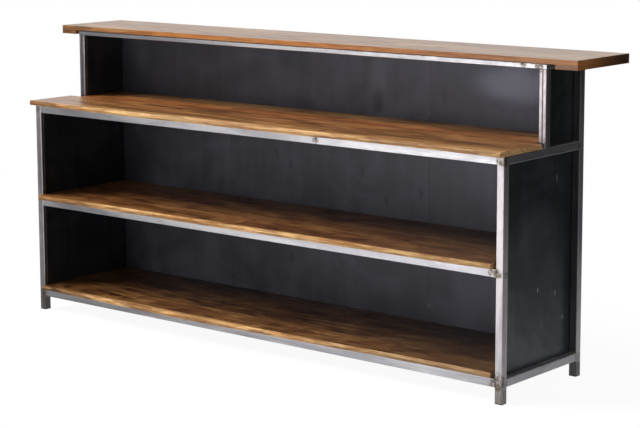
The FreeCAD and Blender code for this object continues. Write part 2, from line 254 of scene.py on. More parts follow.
# %% [markdown]
# ## Raw steel tube
#
# The tubes are cold-rolled and left bare. The rolls leave fine lines along the tube, the mill
# leaves bluish clouds, and handling leaves brownish scuffs, and smears that show only in the gloss.
# Most of these run along the tube, so each of the three directions needs a finish of its own, all
# from the same function. The upright tubes have three: the front posts and the upper posts came
# from deliveries that are a little darker, and the fronts of the back posts, which face into the
# recess beside the sheets, are darkened as painted shade. The feet keep their dark mill scale.

# %% Bare tube
STEEL_LIGHT, STEEL_DARK, SCUFFED = tone("DAD8DA"), tone("B2B0B6"), tone("8F8880")


def tube_scale(axis, along, across):
    """How many clouds to the metre for a tube that runs along one axis."""
    return [along if i == axis else across for i in range(3)]


def bare_tube(n, place, axis, tint):
    """The colour, and three noises: rolling lines, clouds of the mill, smears of hands."""
    lines = n.noise(place, tube_scale(axis, 9.0, 900.0), detail=3, rough=0.7)
    clouds = n.noise(place, tube_scale(axis, 2.2, 16.0), detail=4, rough=0.6,
                     shift=(3.1, 1.7, 0.4), warp=0.4)
    smears = n.noise(place, (38, 38, 38), detail=3, rough=0.65, shift=(0, 5.2, 0))
    scuffs = n.noise(place, tube_scale(axis, 14.0, 210.0), detail=5, rough=0.75, shift=(6, 2, 9))
    colour = n.mix(n.remap(clouds + lines * 0.35 - 0.17, 0.34, 0.68), STEEL_DARK, STEEL_LIGHT)
    colour = n.mix(n.remap(scuffs, 0.54, 0.70, 0, 0.55), colour, SCUFFED)
    return n.mix(1.0, colour, tint, "MULTIPLY"), lines, clouds, smears


print("steel from", [round(part, 2) for part in STEEL_DARK],
      "to", [round(part, 2) for part in STEEL_LIGHT])

# %% [markdown]
# Near a weld the heat has tinted the steel straw, brown and blue. The tint is a band round the
# tube, broken up by a noise, because the welder didn't stay equally long everywhere. Where the
# grinder took the bead off, the steel is mottled instead, in a round spot.

# %% Heat near the welds
HEAT = [(0.0, tone("A6A4AB")), (0.35, tone("8F8B94")), (0.6, tone("857861")),
        (0.85, tone("605441")), (1.0, tone("403A34"))]
BAND = (0.026, 0.052)         # metres from a weld at which the tint starts to fade and is gone
SPOT = (0.018, 0.036)         # the same from a ground weld of size 1


def nearest(distances):
    """The smallest of several distances."""
    near, *others = distances
    for distance in others:
        near = near.smaller(distance)
    return near


def weld_heat(n, place, along, smears, welds, rough_welds):
    """How hot the steel got, from 0 to 1; along: the point's place on the tube's own axis."""
    near = nearest([abs(along - weld) for weld in welds])
    patchy = n.noise(place, (9, 9, 9), detail=1, shift=(0.7, 0, 2.0))
    mottle = n.noise(place, (85, 85, 85), detail=5, rough=0.75)
    heat = n.remap(near + smears * 0.05, *BAND, 0.8, 0) * n.remap(patchy, 0.42, 0.62, 0.05, 0.8)
    heat = heat * n.remap(mottle, 0.35, 0.62, 0.25, 1)
    if rough_welds:
        reach = nearest([n.distance(place, (x, y, z)) / size for x, y, z, size in rough_welds])
        ground = n.remap(reach + smears * 0.02, *SPOT, 1, 0)
        heat = heat.larger(ground * n.remap(mottle, 0.36, 0.62, 0.3, 1.0))
    return heat


print("heat tints the steel up to", BAND[1], "m from a weld, in", len(HEAT), "colours")

# %% Steel along one axis
SEAM = (0.0026, 0.0050)       # metres from the tube's own seam at which it starts to fade, is gone
SCALE_FADE, BAR_SHADOW_FADE = 0.014, 0.004        # metres in which the scale ends and the painted shadow under the bar top starts
NO_SCALE, NO_BAR_SHADOW = -1.0, 9.0               # heights outside the counter


def tube_steel(name, axis, welds, seams=(), rough_welds=(), scaled_below=NO_SCALE,
               bar_shadow_above=NO_BAR_SHADOW, front_shade=0.0, tint=(1, 1, 1)):
    """A finish for the tubes that run along one axis. Places and heights are in metres.

    welds: places along the axis where other tubes are welded on
    seams: the x of the tube's own seam
    rough_welds: (x, y, z, size) of welds that the grinder left mottled
    scaled_below: height under which the dark mill scale was left on
    bar_shadow_above: height over which a painted shadow under the bar top darkens the rail
    front_shade: how much painted shade darkens the faces that look forward
    tint: colour of this delivery of tube
    """
    material, n = new_finish(name)
    place = n.place()
    x, y, z = n.parts(place)
    colour, lines, clouds, smears = bare_tube(n, place, axis, tint)
    if seams:
        seam = nearest([abs(x - at) for at in seams])
        colour = n.mix(n.remap(seam + lines * 0.002, *SEAM, 0.9, 0), colour, tone("4B474C"))
    scale = n.mix(n.remap(lines, 0.38, 0.62), tone("514E49"), tone("A3A09A"))
    scaled = n.remap(z + smears * 0.02, scaled_below, scaled_below + SCALE_FADE, 0.85, 0)
    colour = n.mix(scaled, colour, scale)
    # Painted shadow: the top rail is darkened just under the bar top, where the board shades it.
    bar_shadow = n.remap(z + smears * 0.004, bar_shadow_above, bar_shadow_above + BAR_SHADOW_FADE, 0, 0.8)
    colour = n.mix(bar_shadow, colour, tone("26221F"))
    # Painted shade: the faces that look forward, into the recess beside the sheets, are darkened.
    if front_shade:
        front_shaded = n.remap(n.facing()[1], -0.4, -0.8, 0, front_shade)
        colour = n.mix(front_shaded, colour, tone("2B2C30"))
    heat = weld_heat(n, place, (x, y, z)[axis], smears, welds, rough_welds)
    colour = n.mix(n.remap(heat, 0.15, 0.6, 0, 0.85), colour, n.ramp(heat, HEAT))
    close_finish(n, Base_Color=colour, Metallic=1.0,
                 Roughness=n.remap(smears + clouds * 0.6, 0.5, 1.1, 0.33, 0.47) + heat * 0.12,
                 Normal=n.bump(lines * 0.6 + smears * 0.4, 0.00022))
    return material


# %% Where the tubes meet
RAILS = ("front_bottom_rail", "front_middle_rail", "front_counter_rail", "front_top_rail")
# Ground welds on the front: post 0 left or 1 right, metres to the right of its inner side, rail in
# the order above, metres over its middle, size.
GROUND_WELDS = [(1, 0.005, 1, 0.000, 1.1), (1, -0.020, 1, 0.002, 0.8), (1, 0.013, 0, 0.002, 1.9),
                (1, 0.024, 2, 0.004, 1.5), (0, -0.008, 0, 0.000, 1.1)]
TOP_RAIL_MARK, COUNTER_RAIL_MARK = 1.04, 0.32      # x of two more that lie between the posts


def middle(node, axis):
    """Where the middle of a node's box lies on one axis."""
    low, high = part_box(node)
    return (low[axis] + high[axis]) / 2


posts_x = [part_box("front_post_left")[1].x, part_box("front_post_right")[0].x]
rail_levels = [middle(rail, 2) for rail in RAILS]
side_rail, upper_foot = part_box("right_counter_rail"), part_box("upper_post_right")
front_face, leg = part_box("front_bottom_rail")[0].y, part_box("front_bottom_rail")[0].z
front_welds = [(posts_x[post] + aside, front_face, rail_levels[rail] + above, size)
               for post, aside, rail, above, size in GROUND_WELDS]
corner_weld = (upper_foot[0].x, upper_foot[0].y, upper_foot[1].z + 0.006, 1.0)
rail_marks = [(TOP_RAIL_MARK, upper_foot[0].y, rail_levels[3] + 0.004, 0.7),
              (COUNTER_RAIL_MARK, front_face - 0.008, rail_levels[2] + 0.004, 1)]
print("rail levels", [round(z, 3) for z in rail_levels], "ground welds", len(front_welds))

# %% Steel for the three directions
steel_deep = tube_steel("steel_front_to_back", 1,
                        [side_rail[0].y, side_rail[1].y, upper_foot[0].y])
steel_front = tube_steel("steel_front_posts", 2, rail_levels, rough_welds=front_welds,
                         scaled_below=leg, tint=(0.85, 0.82, 0.82))
steel_long = tube_steel("steel_lengthwise", 0, posts_x,
                        rough_welds=front_welds + [corner_weld] + rail_marks,
                        bar_shadow_above=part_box("front_top_rail")[1].z - 0.004)
steel_back = tube_steel("steel_back_posts", 2, [rail_levels[0], rail_levels[2]],
                        scaled_below=leg, front_shade=0.7)
steel_upper = tube_steel("steel_upper_posts", 2, rail_levels[2:], rough_welds=[corner_weld],
                         seams=[middle("upper_post_left", 0), middle("upper_post_right", 0)],
                         tint=(0.80, 0.75, 0.76))
print("steel finishes:", len(bpy.data.materials))

# %% [markdown]
# ## Blackened sheet
#
# The sheets are hot-rolled steel, blackened and waxed. The black is a thin skin with cloudy
# patches, slightly violet on the back sheets, with soft rub marks, a few bright scratches on the
# right end panel, and small scorched spots where the stiles were tacked on from behind. It is
# satin, so a broad light shows on it as a soft gradient. On the right of the upper back sheet that
# light is a painted highlight, a pale mark listed with the rubs. A mark is an ellipsoid round a
# point, with a soft rim.

# %% Marks on the sheets
# Places are in metres. A scorch is its x and height; a mark is its middle, its reach along x, y and
# z, its strength and its colour.
SCORCHES = [(-0.270, 0.681), (-0.196, 0.644), (-0.193, 0.262), (0.165, 0.643), (0.283, 0.546),
            (0.445, 0.590), (0.553, 0.964), (0.246, 0.910)]
SCORCH = (0.002, 0.022)       # metres from its middle at which a scorch starts to fade and is gone
SCORCH_SQUASH = 0.5           # a scorch is twice as high as it is wide
ANY_Y = 9                     # a reach along y that leaves y out of it
RUBS_AND_HIGHLIGHT = [((0.237, 0, 1.010), (0.050, ANY_Y, 0.110), 0.30, "60606A"),
        ((0.242, 0, 0.925), (0.036, ANY_Y, 0.064), 0.50, "1E1D22"),
        # the last mark is a painted highlight: a broad pale patch of light on the right of the
        # upper back sheet
        ((0.875, 0, 1.030), (0.200, ANY_Y, 0.078), 0.60, "6C6C7A")]
RIGHT_ONLY = 0.2              # a reach along x that leaves out the panel at the other end
BARE = "B4BABE"
right_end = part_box("front_post_right")[1].x
SCRATCHES = [((right_end, 0.099, 0.729), (RIGHT_ONLY, 0.005, 0.018), 0.8, BARE),
             ((right_end, -0.015, 0.348), (RIGHT_ONLY, 0.004, 0.010), 0.8, BARE),
             ((right_end, 0.098, 0.320), (RIGHT_ONLY, 0.004, 0.012), 0.8, BARE),
             ((right_end, 0.147, 0.225), (RIGHT_ONLY, 0.006, 0.010), 0.7, BARE)]
print(len(SCORCHES), "scorches,", len(RUBS_AND_HIGHLIGHT), "rub marks,", len(SCRATCHES), "scratches")


# %% Black sheet
def black_sheet(name, dark, light, scorched, marks, metallic, gloss):
    """A finish for the sheets.

    dark, light: the two tones of the skin
    scorched, marks: lists as above
    metallic: how much of the skin is metal
    gloss: its roughness where it is smoothest and where it is dullest
    """
    material, n = new_finish(name)
    place = n.place()
    clouds = n.noise(place, (2.6, 2.6, 3.4), detail=5, rough=0.6, warp=0.6)
    streaks = n.noise(place, (16, 16, 1.6), detail=3, shift=(4, 4, 0))
    fine = n.noise(place, (140, 140, 60), detail=4, rough=0.7)
    skin = n.mix(n.remap(clouds + streaks * 0.3, 0.5, 0.85), tone(dark), tone(light))
    skin = n.mix(n.remap(fine, 0.55, 0.8, 0, 0.3), skin, tone("55555C"))
    if scorched:
        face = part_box("lower_back_sheet_middle")[0].y
        squashed = n.stretched(place, (1, 1, SCORCH_SQUASH))
        far = nearest([n.distance(squashed, (x, face, z * SCORCH_SQUASH)) for x, z in scorched])
        skin = n.mix(n.remap(far + fine * 0.008, *SCORCH, 0.5, 0), skin, tone("1C1B20"))
    for middle_point, reach, strength, colour in marks:
        scale = [1 / length for length in reach]
        shift = [-at * factor for at, factor in zip(middle_point, scale)]
        out = n.distance(n.stretched(place, scale, shift), (0, 0, 0))
        skin = n.mix(n.remap(out + clouds * 0.6, 0.6, 1.5, strength, 0), skin, tone(colour))
    close_finish(n, Base_Color=skin, Metallic=metallic,
                 Roughness=n.remap(clouds + fine * 0.3, 0.4, 0.9, *gloss),
                 Normal=n.bump(clouds * 0.9 + fine * 0.1, 0.0012))
    return material


sheet_back = black_sheet("sheet_back", "3A3A41", "4D4D57", SCORCHES, RUBS_AND_HIGHLIGHT, 0.6, (0.36, 0.50))
sheet_end = black_sheet("sheet_end", "444749", "606467", [], SCRATCHES, 0.9, (0.27, 0.38))
print("sheet finishes:", sheet_back.name, sheet_end.name)

# %% [markdown]
# ## Boards
#
# Each board is glued up from planks of the same kind of hardwood. A plank shows the growth rings of
# its own tree: long, nearly straight lines where the saw ran near the bark, stretched arches where
# it ran across. So the shader first finds which plank a point is in, gives that plank its own tree
# centre, and reads a noise by the distance from that centre. Because the rings are solid, they
# carry on over the edges and the ends. Round a knot the rings are pushed outwards.

# %% How the planks were cut
# The heart is the tree's centre. Lengths are in metres.
PLANK_PITCH = 0.1175                    # from one plank's middle to the next
FIRST_HEART, HEART_DEPTH = 0.06, 0.07   # from the heart to the first seam, and up to the face
HEART_WANDER, HEART_SAG = 0.12, 0.03    # how far it strays sideways and in depth along the plank
RINGS_TO_THE_METRE = 120
RING_DRIFT, RING_JUMP = 0.35, 7.3       # how the rings change along a plank, and to the next one
NEXT_TREE = (3.7, 1.3)                  # steps in x and y that bring a plank into its own noise
NEXT_BOARD = (1, 0.37)                  # the same in x and z for a board's seed
KNOT_SQUASH = 0.45                      # a knot is longer along the grain than across it
KNOT_PUSH = 0.03                        # how far it pushes the rings outwards
print("rings are", round(1000 / RINGS_TO_THE_METRE, 1), "mm apart on average")


# %% Grain
class Grain:
    """The figure of one board, as noises from 0 to 1."""

    def __init__(self, n, seams, top, seed, figured, knots):
        place = n.place()
        self.x, self.y, self.z = n.parts(place)
        self.plank = sum(self.y > seam for seam in seams)
        tree = n.add("ShaderNodeVectorMath", {"operation": "ADD"}, {
            0: place, 1: n.add("ShaderNodeCombineXYZ", {}, {
                "X": self.plank * NEXT_TREE[0] + seed * NEXT_BOARD[0],
                "Y": self.plank * NEXT_TREE[1], "Z": seed * NEXT_BOARD[1]})})
        along, across = figured
        self.slow = n.noise(tree, (1.6, 5, 5), detail=2, warp=0.5)
        self.broad = n.noise(tree, (along, across, across), detail=3, rough=0.6,
                             shift=(0, 0, 5), warp=0.9)
        self.fibre = n.noise(tree, (11, 190, 190), detail=3, rough=0.65, shift=(0, 0, 1))
        self.pores = n.noise(tree, (60, 1500, 1500), detail=2, rough=0.6)
        self.streak = n.noise(tree, (5.0, 46, 46), detail=3, rough=0.6,
                              shift=(7, 1, 3), warp=0.3)
        self.gleam = n.noise(tree, (4.0, 62, 62), detail=3, rough=0.6,
                             shift=(2, 8, 1), warp=0.3)
        radius = self.from_heart(seams[0], top)
        if knots:
            flat = n.stretched(place, (KNOT_SQUASH, 1, 1))
            self.knot = nearest([n.distance(flat, (x * KNOT_SQUASH, y, top)) / size
                                 for x, y, size in knots])
            radius = radius + n.remap(self.knot, 0, 3, KNOT_PUSH, 0)
        self.rings = n.add("ShaderNodeTexNoise", {"noise_dimensions": "2D"}, {
            "Vector": n.add("ShaderNodeCombineXYZ", {}, {
                "X": radius * RINGS_TO_THE_METRE,
                "Y": self.plank * RING_JUMP + self.x * RING_DRIFT}),
            "Scale": 1.0, "Detail": 2.0, "Roughness": 0.6})
        self.figure = (self.broad * 0.40 + self.slow * 0.24
                       + self.rings * 0.18 + self.fibre * 0.18)

    def from_heart(self, first_seam, top):
        """The distance to the centre of the tree that the plank was cut from."""
        heart = self.plank * PLANK_PITCH + (first_seam - FIRST_HEART)
        across = self.y - (heart + (self.slow - 0.5) * HEART_WANDER)
        depth = self.z - (top - HEART_DEPTH) + (self.broad - 0.5) * HEART_SAG
        return (across * across + depth * depth) ** 0.5


# %% [markdown]
# The wood is brown, with dark streaks and gleams, and each plank has a tint of its own; on the
# shelves the tints are far darker than on the counter, as painted shade inside the bays. Towards
# the right every board darkens, and its front edge more, as painted shade. Where the plank keeps
# the natural edge of the tree, the younger wood under the bark is pale: it shows on the edge itself
# and as a wandering band behind it, broken into streaks that are partly painted glints, and fades
# out at the far left; how pale the edge is from left to right paints light and shade along it. The
# sawn ends are painted pale, a painted highlight where light falls on them. On the bar top and its
# battens they darken again towards the back, as painted shade.

# %% Colours of the wood
HONEY = [tone("472B18"), tone("8C5C35"), tone("B98852"), tone("B07A44"), tone("DDB47A")]
CHESTNUT = [tone("5A4029"), tone("88623E"), tone("A8825C"), tone("9C5818"), tone("B8722C")]
BAND_FADE = 0.02                        # metres in which the pale band ends
LEFT_END = (-1.15, -0.65)               # x between which the pale wood comes in


def heartwood(n, grain, tones, tints, shade_to_right):
    """The brown wood; tones are the dark, the middle and the pale brown, and two of sapwood."""
    dark, brown, light = tones[:3]
    strength, dull = shade_to_right
    colour = n.ramp(n.remap(grain.figure, 0.385, 0.625),
                    [(0.0, dark), (0.5, brown), (1.0, light)])
    for index, tint in enumerate(tints):
        this_plank = n.remap(abs(grain.plank - index), 0.4, 0.6, 1, 0)
        colour = n.mix(this_plank, colour, tint, "MULTIPLY")
    colour = n.mix(n.remap(grain.streak, 0.56, 0.66, 0, 0.6), colour, dark)
    colour = n.mix(n.remap(grain.gleam, 0.54, 0.68, 0, 0.5), colour, n.mix(0.6, colour, light))
    # Painted shade: the wood darkens towards the right, where less light falls.
    to_right = n.remap(grain.x + grain.slow * 0.4, 0.3, 1.3, 0, strength)
    return n.mix(to_right, colour, tone(dull))


def pale_wood_and_highlights(n, grain, edge, front_side, sawn_end):
    """How pale the wood is, from 0 to 1: partly the pale sapwood, partly painted highlights."""
    start, wander, left_pale, right_pale = edge
    # the front edge is pale wood; how pale it is from its left end to its right paints light and
    # shade along it
    nose = front_side * n.remap(grain.x, -0.9, 0.8, left_pale, right_pale)
    line = grain.y + (grain.slow - 0.5) * wander + (grain.broad - 0.5) * wander * 0.4
    band = n.remap(line, start, start + BAND_FADE, 0.95, 0)
    # the band is broken into streaks: partly the pale band, partly painted glints where the edge
    # catches the light
    band = band * n.remap(grain.gleam * 0.6 + grain.streak * 0.4, 0.44, 0.56, 0.3, 1.0)
    # the sawn ends are made pale too, a painted highlight where light falls on them
    return (nose.larger(band) * n.remap(grain.x, *LEFT_END, 0.2, 1)).larger(sawn_end * 0.75)


print("wood tones:", len(HONEY + CHESTNUT))


# %% Wood
def board(name, seams, top, seed, tones, tints, edge, figured, shade_to_right, knots=(), shaded_end=0.0):
    """A finish for a board of several planks. Places and lengths are in metres.

    seams: y where plank meets plank, front to back
    top: height of the board's face
    tones: see heartwood
    tints: a colour for each plank; on the shelves far darker than on the counter, as painted shade
    edge: y where the pale band behind the front ends, how much that wanders, and how pale the front
    edge itself is at the left and right end, which paints light and shade along the edge
    figured: how often the figure changes to the metre, along and across the grain
    shade_to_right: how much painted shade darkens the right end, and its colour
    knots: (x, y, size)
    shaded_end: how much painted shade darkens the sawn ends towards the back
    """
    material, n = new_finish(name)
    grain = Grain(n, seams, top, seed, figured, knots)
    x_facing, y_facing, _ = n.facing()
    sawn_end = n.remap(abs(x_facing), 0.5, 0.8)
    front_side = n.remap(y_facing, -0.2, -0.6)
    colour = heartwood(n, grain, tones, tints, shade_to_right)
    sapwood = n.mix(n.remap(grain.fibre + grain.rings * 0.5, 0.6, 0.9), tones[3], tones[4])
    colour = n.mix(pale_wood_and_highlights(n, grain, edge, front_side, sawn_end), colour, sapwood)
    # Painted shade: the front edges darken towards the right.
    colour = n.mix(front_side * n.remap(grain.x, 0, 1, 0, 0.28), colour, tone("3A2A1C"))
    colour = n.mix(n.remap(grain.pores, 0.62, 0.8, 0, 0.4), colour, tones[0])
    if knots:
        colour = n.mix(n.remap(grain.knot, 0.7, 1.3, 0.85, 0), colour, tone("2A150B"))
    if shaded_end:
        # Painted shade: the end faces darken towards the back.
        end_shadow = sawn_end * n.remap(grain.y + grain.fibre * 0.1, 0.0, 0.33, 0.1, shaded_end)
        colour = n.mix(end_shadow, colour, tone("170D06"))
    close_finish(n, Base_Color=colour,
                 Roughness=n.remap(grain.fibre + grain.broad * 0.5, 0.5, 1.0, 0.40, 0.30),
                 Normal=n.bump(grain.fibre * 0.5 + grain.rings * 0.3 + grain.pores * 0.2, 0.0005))
    return material


# %% Counter and shelves
def plank_seams(*planks):
    """The y at which each of these planks ends and the next one begins."""
    return [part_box(node)[1].y for node in planks]


counter_seams = plank_seams("counter_edge_plank", "counter_plank_2", "counter_plank_3")
shelf_seams = plank_seams("middle_shelf_edge_plank", "middle_shelf_plank_2",
                          "middle_shelf_plank_3")
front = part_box("front_post_left")[0].y
behind_nose = front - 0.020
wood_counter = board("wood_counter", counter_seams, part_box("counter_plank_2")[1].z, 0.0, HONEY,
                     [(1.03, 1.02, 1), (1.05, 1.02, 1.0), (1.05, 0.86, 0.78), (0.78, 0.85, 0.92)],
                     edge=(front + 0.005, 0.10, 0.85, 0.1), figured=(3.6, 30),
                     shade_to_right=(0.35, "5C422A"), knots=[(0.33, -0.245, 0.009), (-0.52, -0.10, 0.008)])
# Painted shade: the shelf planks are tinted far darker than the counter's, for the shade inside the
# bays; the tints also differ from plank to plank.
wood_middle = board("wood_middle_shelf", shelf_seams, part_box("middle_shelf_plank_2")[1].z, 2.3,
                    HONEY, [(0.58, 0.52, 0.48), (0.53, 0.48, 0.45), (0.60, 0.59, 0.58),
                            (0.62, 0.64, 0.66)],
                    edge=(behind_nose, 0.02, 0.4, 0.7), figured=(6.0, 11), shade_to_right=(0.55, "3E342B"),
                    knots=[(0.62, -0.13, 0.009), (-0.85, -0.20, 0.010)])
# Painted shade, as on the middle shelf: the tints are darker still.
wood_bottom = board("wood_bottom_shelf", shelf_seams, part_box("bottom_shelf_plank_2")[1].z, 4.9,
                    HONEY, [(0.50, 0.49, 0.47), (0.36, 0.36, 0.36), (0.42, 0.42, 0.42),
                            (0.42, 0.43, 0.44)],
                    edge=(behind_nose, 0.02, 0.35, 0.6), figured=(6.0, 11), shade_to_right=(0.55, "2E2620"),
                    knots=[(-0.35, -0.05, 0.010), (-0.77, -0.225, 0.016)])
print("planks end at", [round(y, 3) for y in counter_seams + shelf_seams])

# %% Bar top
NO_BAND = -1.0                          # a y in front of the board: straight planks have no sapwood
bar_seams = plank_seams("bar_top_plank_1", "bar_top_plank_2")
wood_bar = board("wood_bar_top", bar_seams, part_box("bar_top_plank_2")[1].z, 7.7, CHESTNUT,
                 [(1, 1, 1), (0.94, 0.92, 0.92), (1, 0.97, 0.95)],
                 edge=(NO_BAND, 0.0, 0.75, 0.75), figured=(3.0, 36), shade_to_right=(0.30, "6C5E4E"),
                 shaded_end=0.85)
wood_batten = board("wood_battens", bar_seams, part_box("bar_top_plank_2")[0].z, 3.1, CHESTNUT,
                    [(0.58, 0.50, 0.42)] * 3, edge=(NO_BAND, 0.0, 0.25, 0.25), figured=(3.0, 36),
                    shade_to_right=(0.20, "4A3018"), shaded_end=0.85)
print("planks end at", [round(y, 3) for y in bar_seams])


# %% Foot plastic and zinc
def plain_grained(name, low, high, metallic, rough, scale, depth):
    """A plain finish with an even grain: scale grains to the metre, depth metres deep."""
    material, n = new_finish(name)
    grain = n.noise(n.place(), (scale,) * 3, detail=4, rough=0.6)
    close_finish(n, Base_Color=n.mix(grain, low, high), Metallic=metallic,
                 Roughness=n.remap(grain, 0.3, 0.7, rough - 0.06, rough + 0.06),
                 Normal=n.bump(grain, depth))
    return material


foot_plastic = plain_grained("foot_plastic", tone("141414"), tone("262626"), 0.0, 0.55, 900, 0.0001)
zinc = plain_grained("zinc", tone("8E9092"), tone("B4B2AC"), 1.0, 0.38, 700, 0.00005)
print("finishes:", len(bpy.data.materials))

# %% [markdown]
# ## Hand the finishes to the nodes
#
# A CAD node keeps its mesh. Only its material slots are filled, by what its name says it is.

# %% Assign
def finish_for(node):
    """The finish of a CAD node, by its name."""
    first_word = node.split("_")[0]
    if node.startswith("foot_cap"):
        return foot_plastic
    if node.endswith("screws"):
        return zinc
    if node.startswith("bar_top_batten"):
        return wood_batten
    if node.startswith("bar_top_plank"):
        return wood_bar
    if "plank" in node:
        return {"counter": wood_counter, "middle": wood_middle, "bottom": wood_bottom}[first_word]
    if "back_sheet" in node:
        return sheet_back
    if "end_panel" in node:
        return sheet_end
    if "post" in node or "stile" in node:
        return {"front": steel_front, "upper": steel_upper}.get(first_word, steel_back)
    return steel_deep if first_word in ("left", "right") else steel_long


for name, node in nodes.items():
    node.data.materials.clear()
    node.data.materials.append(finish_for(name))
print("dressed", len(nodes), "nodes")

# %% [markdown]
# ## Weld beads
#
# A bead is a row of small overlapping drops, laid where the end of one tube meets the side of
# another. Where two faces are level the weld has been ground off, so a bead is left only in the
# inside corners. The corners are found from the boxes of the tubes: two boxes that touch share a
# rectangle, and along an edge of it where one tube ends and the other goes on there is a corner.
# Geometry Nodes then repeat one drop along every corner line.

# %% Find the corner lines
TOUCHING = 0.0002         # two tubes that are nearer than this touch
LEAST_SIDE = 0.012        # a shared rectangle that is narrower than this has no bead
ENDS = 0.0005             # one tube has at most this left past a corner
GOES_ON = 0.004           # and the other has at least this
GRIND = 0.0035            # a bead stops short of the rounded edge of the tube


def corner_lines(a, b):
    """Lines, each a pair of points, where a bead can lie between two tubes."""
    (a_low, a_high), (b_low, b_high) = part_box(a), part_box(b)
    low = [max(a_low[i], b_low[i]) for i in range(3)]
    high = [min(a_high[i], b_high[i]) for i in range(3)]
    flat = [i for i in range(3) if abs(high[i] - low[i]) < TOUCHING]
    if len(flat) != 1 or any(high[i] - low[i] < -TOUCHING for i in range(3)):
        return []
    u, v = [i for i in range(3) if i != flat[0]]
    if min(high[u] - low[u], high[v] - low[v]) < LEAST_SIDE:
        return []
    lines = []
    for i, j in ((u, v), (v, u)):
        for side, edge in ((-1, low), (1, high)):
            room_a = (a_high[i] - edge[i]) if side > 0 else (edge[i] - a_low[i])
            room_b = (b_high[i] - edge[i]) if side > 0 else (edge[i] - b_low[i])
            if min(room_a, room_b) < ENDS and max(room_a, room_b) > GOES_ON:
                ends = []
                for end, step in ((low, 1), (high, -1)):
                    point = [0.0, 0.0, 0.0]
                    point[flat[0]], point[i] = low[flat[0]], edge[i]
                    point[j] = end[j] + step * GRIND
                    ends.append(tuple(point))
                lines.append(ends)
    return lines


tubes = sorted(name for name in nodes if name.endswith(("rail", "_left", "_right")) and
               ("post" in name or "rail" in name or "stile" in name))
bead_lines = [line for i, a in enumerate(tubes) for b in tubes[i + 1:]
              for line in corner_lines(a, b)]
print(len(tubes), "tubes,", len(bead_lines), "bead lines")


# %% Weld metal
def weld_metal(name, dull, warm, metallic):
    """Dull weld with warm patches and a dark crust of scale."""
    material, n = new_finish(name)
    place = n.place()
    scale = n.noise(place, (260, 260, 260), detail=3, rough=0.6)
    patch = n.noise(place, (24, 24, 24), detail=2)
    colour = n.mix(n.remap(patch, 0.4, 0.62), tone(dull), tone(warm))
    colour = n.mix(n.remap(scale, 0.45, 0.7, 0, 0.6), colour, tone("3A3634"))
    close_finish(n, Base_Color=colour, Metallic=metallic,
                 Roughness=n.remap(scale, 0.3, 0.7, 0.32, 0.6), Normal=n.bump(scale, 0.0003))
    return material


weld = weld_metal("weld_metal", "6E6A66", "8B7A5A", 0.9)
tack = weld_metal("tack_metal", "97959A", "A8A6A8", 0.4)
print("weld finishes:", weld.name, tack.name)

# %% A tree that lays drops along lines
DROP_INPUTS = {"Lines": "NodeSocketGeometry", "Pitch": "NodeSocketFloat",
               "Radius": "NodeSocketFloat", "Flatness": "NodeSocketFloat",
               "Seed": "NodeSocketInt", "Finish": "NodeSocketMaterial"}
SMALLEST, LARGEST = 0.82, 1.15          # a drop's size as a share of the radius asked for


def drop_tree():
    """Returns the tree and the identifiers of its inputs by name.

    Pitch, from drop to drop, and Radius are in metres; Flatness is a drop's half length along the
    line as a share of Radius.
    """
    tree = bpy.data.node_groups.new("drops_along_lines", "GeometryNodeTree")
    named = {name: tree.interface.new_socket(name, in_out="INPUT", socket_type=kind).identifier
             for name, kind in DROP_INPUTS.items()}
    tree.interface.new_socket("Drops", in_out="OUTPUT", socket_type="NodeSocketGeometry")
    g = Nodes(tree)
    given = g.add("NodeGroupInput")
    line = g.add("GeometryNodeMeshToCurve", {}, {"Mesh": given.other("Lines")})
    spaced = g.add("GeometryNodeResampleCurve", {"mode": "LENGTH"}, {
        "Curve": line, "Length": given.other("Pitch")})
    drop = g.add("GeometryNodeMeshUVSphere", {}, {
        "Segments": 8, "Rings": 5, "Radius": given.other("Radius")})
    grow = g.add("FunctionNodeRandomValue", {"data_type": "FLOAT"}, {
        2: SMALLEST, 3: LARGEST, "Seed": given.other("Seed")}, out=1)
    shape = g.add("ShaderNodeCombineXYZ", {}, {"X": grow, "Y": grow, "Z": given.other("Flatness")})
    turned = g.add("FunctionNodeAlignRotationToVector", {"axis": "Z"}, {
        "Vector": g.add("GeometryNodeInputTangent")})
    placed = g.add("GeometryNodeInstanceOnPoints", {}, {
        "Points": spaced, "Instance": drop, "Rotation": turned, "Scale": shape})
    solid = g.add("GeometryNodeRealizeInstances", {}, {"Geometry": placed})
    smooth = g.add("GeometryNodeSetShadeSmooth", {}, {0: solid})
    dressed = g.add("GeometryNodeSetMaterial", {}, {
        "Geometry": smooth, "Material": given.other("Finish")})
    g.add("NodeGroupOutput", {}, {"Drops": dressed})
    return tree, named


drops, drop_inputs = drop_tree()
print("tree", drops.name, "takes", ", ".join(drop_inputs))


# %% Lay the drops
def lay(name, lines, slot, **inputs):
    """A piece of drops along the lines, as one plain mesh that rides on the body."""
    points = [point for line in lines for point in line]
    mesh = bpy.data.meshes.new(name)
    mesh.from_pydata(points, [(i, i + 1) for i in range(0, len(points), 2)], [])
    piece = bpy.data.objects.new(name, mesh)
    bpy.context.scene.collection.objects.link(piece)
    modifier = piece.modifiers.new("drops", "NODES")
    modifier.node_group = drops
    for key, value in inputs.items():
        modifier[drop_inputs[key]] = value
    bpy.context.view_layer.update()
    evaluated = piece.evaluated_get(bpy.context.evaluated_depsgraph_get())
    plain = bpy.data.meshes.new_from_object(evaluated)
    piece.modifiers.clear()
    piece.data = plain
    plain.name = name
    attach(piece, "root")
    print(name, len(plain.polygons), "faces")


lay("weld_beads", bead_lines, "raw_steel",
    Pitch=0.0017, Radius=0.0021, Flatness=0.75, Seed=4, Finish=weld)

# %% [markdown]
# ## Tacks on the sheet seams
#
# The back is closed by three sheets on each level. They meet on a stile, and short upright dabs of
# weld through the seam hold them to it. Most are dull, and three on the right seam are lighter.

